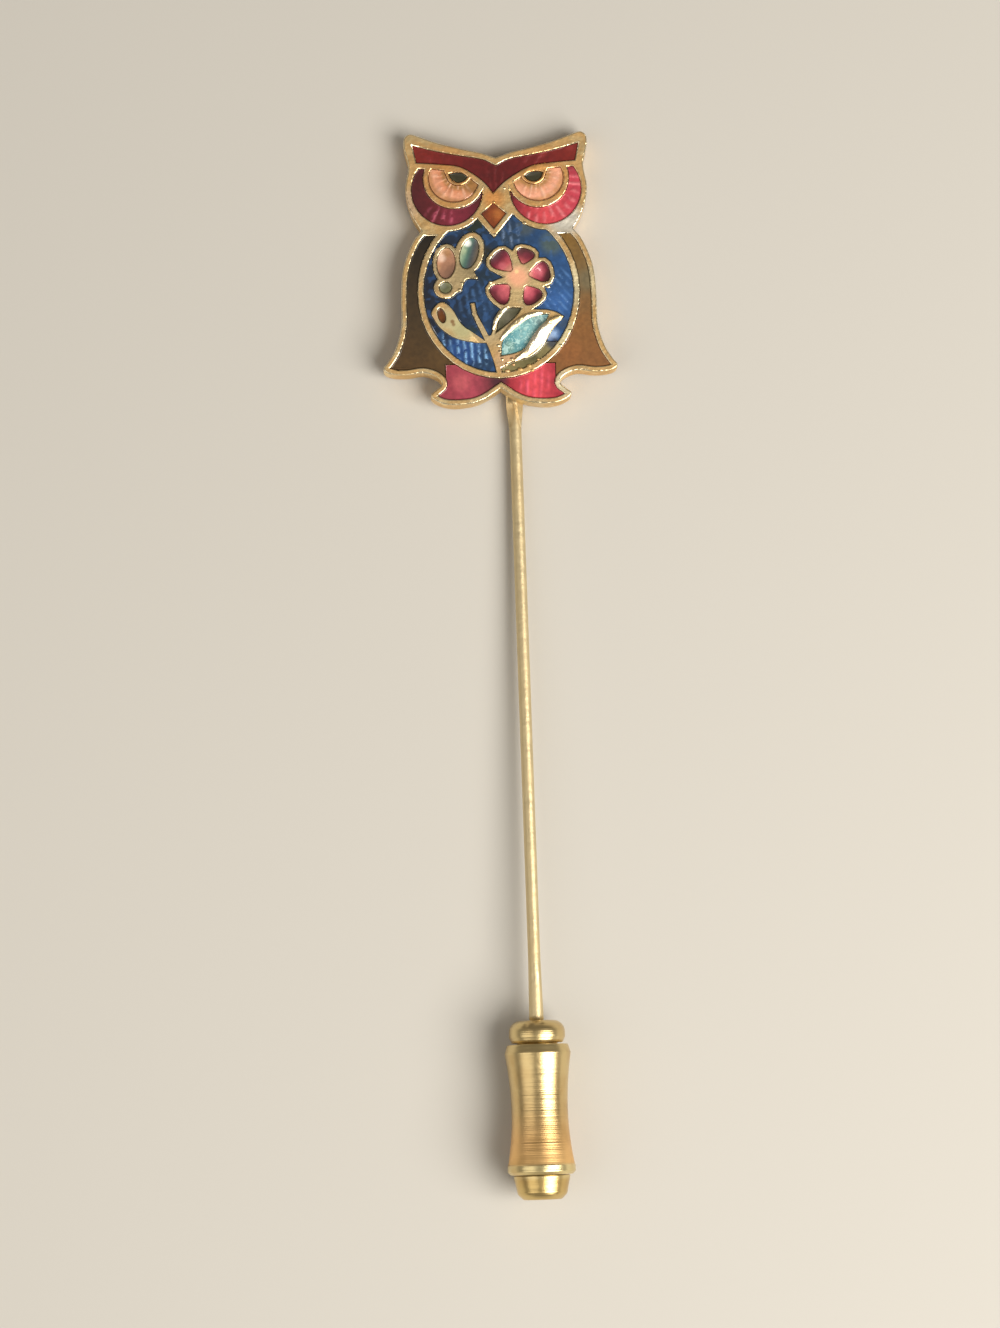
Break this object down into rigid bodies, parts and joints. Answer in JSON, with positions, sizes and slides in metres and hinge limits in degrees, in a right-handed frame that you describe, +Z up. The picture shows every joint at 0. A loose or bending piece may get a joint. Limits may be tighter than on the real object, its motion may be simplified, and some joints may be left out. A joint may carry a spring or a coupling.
{
  "type": "stick pin",
  "caption": "Stick pin: a gilt owl plate with enamel-filled cells on a straight wire pin, with a turned brass clutch that slides off the point.",
  "frame": {"origin": "on the surface that the pin lies on, under the middle of its length and of the owl's width", "axes": "+Y along the pin from the clutch to the owl's ear tips, +Z up, out of the owl's face, +X to the owl's side that is on the right as its face is seen"},
  "size_m": [0.0156, 0.0706, 0.0047],
  "materials": {
    "gilt": "polished",
    "clutch_brass": "satin",
    "enamel_maroon": "gloss",
    "enamel_magenta": "gloss",
    "enamel_salmon": "gloss",
    "enamel_olive": "gloss",
    "enamel_amber": "gloss",
    "enamel_blue": "gloss",
    "enamel_crimson": "gloss",
    "enamel_teal": "gloss",
    "enamel_shell_pink": "gloss",
    "enamel_grey_green": "gloss",
    "enamel_rust": "gloss",
    "enamel_aqua": "gloss",
    "enamel_brown_dark": "gloss",
    "enamel_brown_light": "gloss",
    "enamel_raspberry": "gloss"
  },
  "bodies": {
    "pin": {"owl_and_wire": "gilt", "brow": "enamel_maroon", "eye_surround_left": "enamel_magenta", "eye_surround_right": "enamel_magenta", "iris_left": "enamel_salmon", "iris_right": "enamel_salmon", "pupil_left": "enamel_olive", "pupil_right": "enamel_olive", "beak": "enamel_amber", "belly_blue": "enamel_blue", "petal_1": "enamel_crimson", "petal_2": "enamel_crimson", "petal_3": "enamel_crimson", "petal_4": "enamel_crimson", "petal_5": "enamel_crimson", "butterfly_upper": "enamel_teal", "butterfly_side": "enamel_shell_pink", "butterfly_lower": "enamel_grey_green", "bud_spot": "enamel_rust", "leaf_small": "enamel_olive", "leaf_large": "enamel_aqua", "leaf_shade": "enamel_olive", "wing_left": "enamel_brown_dark", "wing_right": "enamel_brown_light", "feet": "enamel_raspberry"},
    "clutch": {"clutch_collar": "clutch_brass", "clutch_barrel": "clutch_brass", "clutch_plug": "clutch_brass"}
  },
  "joints": [
    {"name": "clutch_slide", "type": "slide", "parent": "pin", "child": "clutch", "axis": [0.0105, -0.9992, 0.0386], "range_m": [0, 0.011]}
  ]
}
